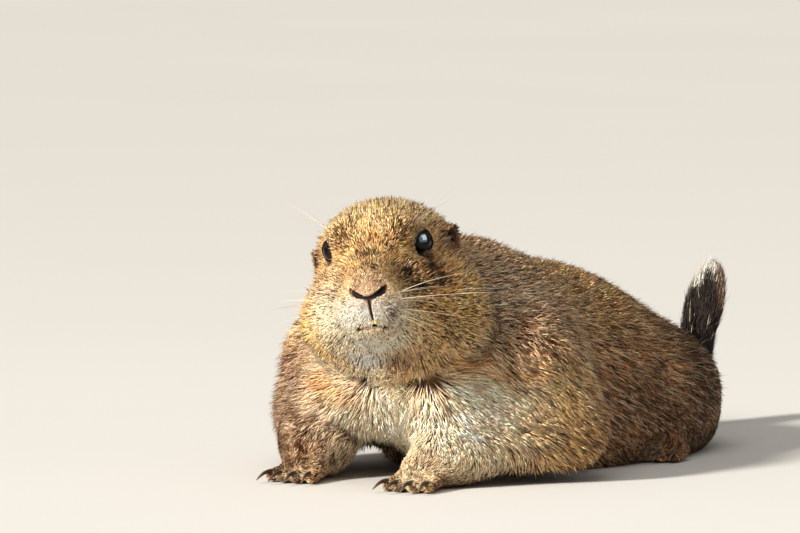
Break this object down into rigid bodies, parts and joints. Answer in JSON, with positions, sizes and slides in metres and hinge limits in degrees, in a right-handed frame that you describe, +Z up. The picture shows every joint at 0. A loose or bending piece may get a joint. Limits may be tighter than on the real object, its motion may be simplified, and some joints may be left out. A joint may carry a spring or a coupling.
{
  "type": "prairie dog",
  "caption": "Life-size still model of a prairie dog lying on its belly, chest propped on bent forelegs, head raised and turned to its left, short tail raised behind.",
  "frame": {"origin": "on the floor, under the middle of the box round the whole animal", "axes": "+Z up, -Y the way the trunk faces, so the head is towards -Y and the tail towards +Y; +X is the animal's left"},
  "size_m": [0.1462, 0.3116, 0.1104],
  "materials": {
    "coat": "short dense fur, golden buff ticked with dark brown and cream, matt with a soft sheen",
    "tail_coat": "brushy fur, tan at the root and black towards the tip, with pale tips at the end",
    "ear_coat": "thin skin with very short orange-brown hair, darker inside",
    "eye": "near-black, wet and glossy",
    "nose_pad": "short-furred pad with dark bare nostrils",
    "tooth": "smooth, ivory to pale orange",
    "claw": "smooth dark horn"
  },
  "bodies": {
    "root": {"head": "coat", "neck": "coat", "trunk": "coat", "tail": "tail_coat", "foreleg_left": "coat", "foreleg_right": "coat", "hindleg_left": "coat", "hindleg_right": "coat", "eye_left": "eye", "eye_right": "eye", "ear_left": "ear_coat", "ear_right": "ear_coat", "nose": "nose_pad", "incisors": "tooth", "foreleg_claw_left_1": "claw", "foreleg_claw_left_2": "claw", "foreleg_claw_left_3": "claw", "foreleg_claw_left_4": "claw", "foreleg_claw_right_1": "claw", "foreleg_claw_right_2": "claw", "foreleg_claw_right_3": "claw", "foreleg_claw_right_4": "claw", "hindleg_claw_left_1": "claw", "hindleg_claw_left_2": "claw", "hindleg_claw_left_3": "claw", "hindleg_claw_left_4": "claw", "hindleg_claw_left_5": "claw", "hindleg_claw_right_1": "claw", "hindleg_claw_right_2": "claw", "hindleg_claw_right_3": "claw", "hindleg_claw_right_4": "claw", "hindleg_claw_right_5": "claw"}
  },
  "joints": []
}
